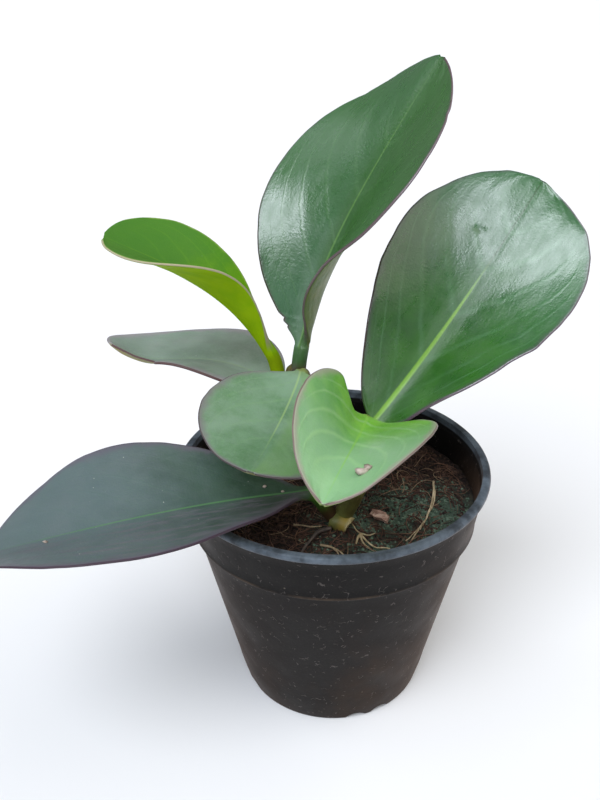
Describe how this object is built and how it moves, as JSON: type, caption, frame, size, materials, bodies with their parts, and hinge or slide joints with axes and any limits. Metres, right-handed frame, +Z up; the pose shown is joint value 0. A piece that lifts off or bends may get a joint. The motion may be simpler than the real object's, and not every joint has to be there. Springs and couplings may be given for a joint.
{
  "type": "potted peperomia",
  "caption": "Young potted peperomia: fleshy oval leaves on short stalks from one zigzag stem, in a round black plastic nursery pot of coir soil.",
  "frame": {"origin": "centre of the pot's flat base", "axes": "+Z up along the pot's axis; the plant stands towards -Y, the side that is seen from the front; +X is to its right"},
  "size_m": [0.1889, 0.1417, 0.2248],
  "materials": {
    "pot_plastic": "worn satin black, dusty, lightly scratched",
    "coir_soil": "loose damp coir fibre with dark green algae",
    "stem_skin": "smooth living stem, olive to brown",
    "leaf_dark": "glossy waxy leaf, dark green",
    "leaf_lime": "satin waxy young leaf, lime green",
    "leaf_dull": "dusty matt leaf, grey green",
    "leaf_fresh": "satin waxy leaf, fresh green with a pale edge",
    "leaf_blue": "dusty satin leaf, dark blue green with violet",
    "dry_straw": "dry straw",
    "brown_bark": "dry brown twig",
    "pink_bark": "dry broken bark"
  },
  "bodies": {
    "root": {"pot": "pot_plastic", "soil": "coir_soil", "main_stem": "stem_skin", "leaf_upper": "leaf_dark", "leaf_right": "leaf_dark", "leaf_young": "leaf_lime", "leaf_left": "leaf_dull", "leaf_round": "leaf_dull", "leaf_folded": "leaf_fresh", "leaf_low": "leaf_blue", "straw_stalk": "dry_straw", "brown_twig": "brown_bark", "pale_fibre": "dry_straw", "root_tuft": "dry_straw", "bark_chip": "pink_bark"}
  },
  "joints": []
}
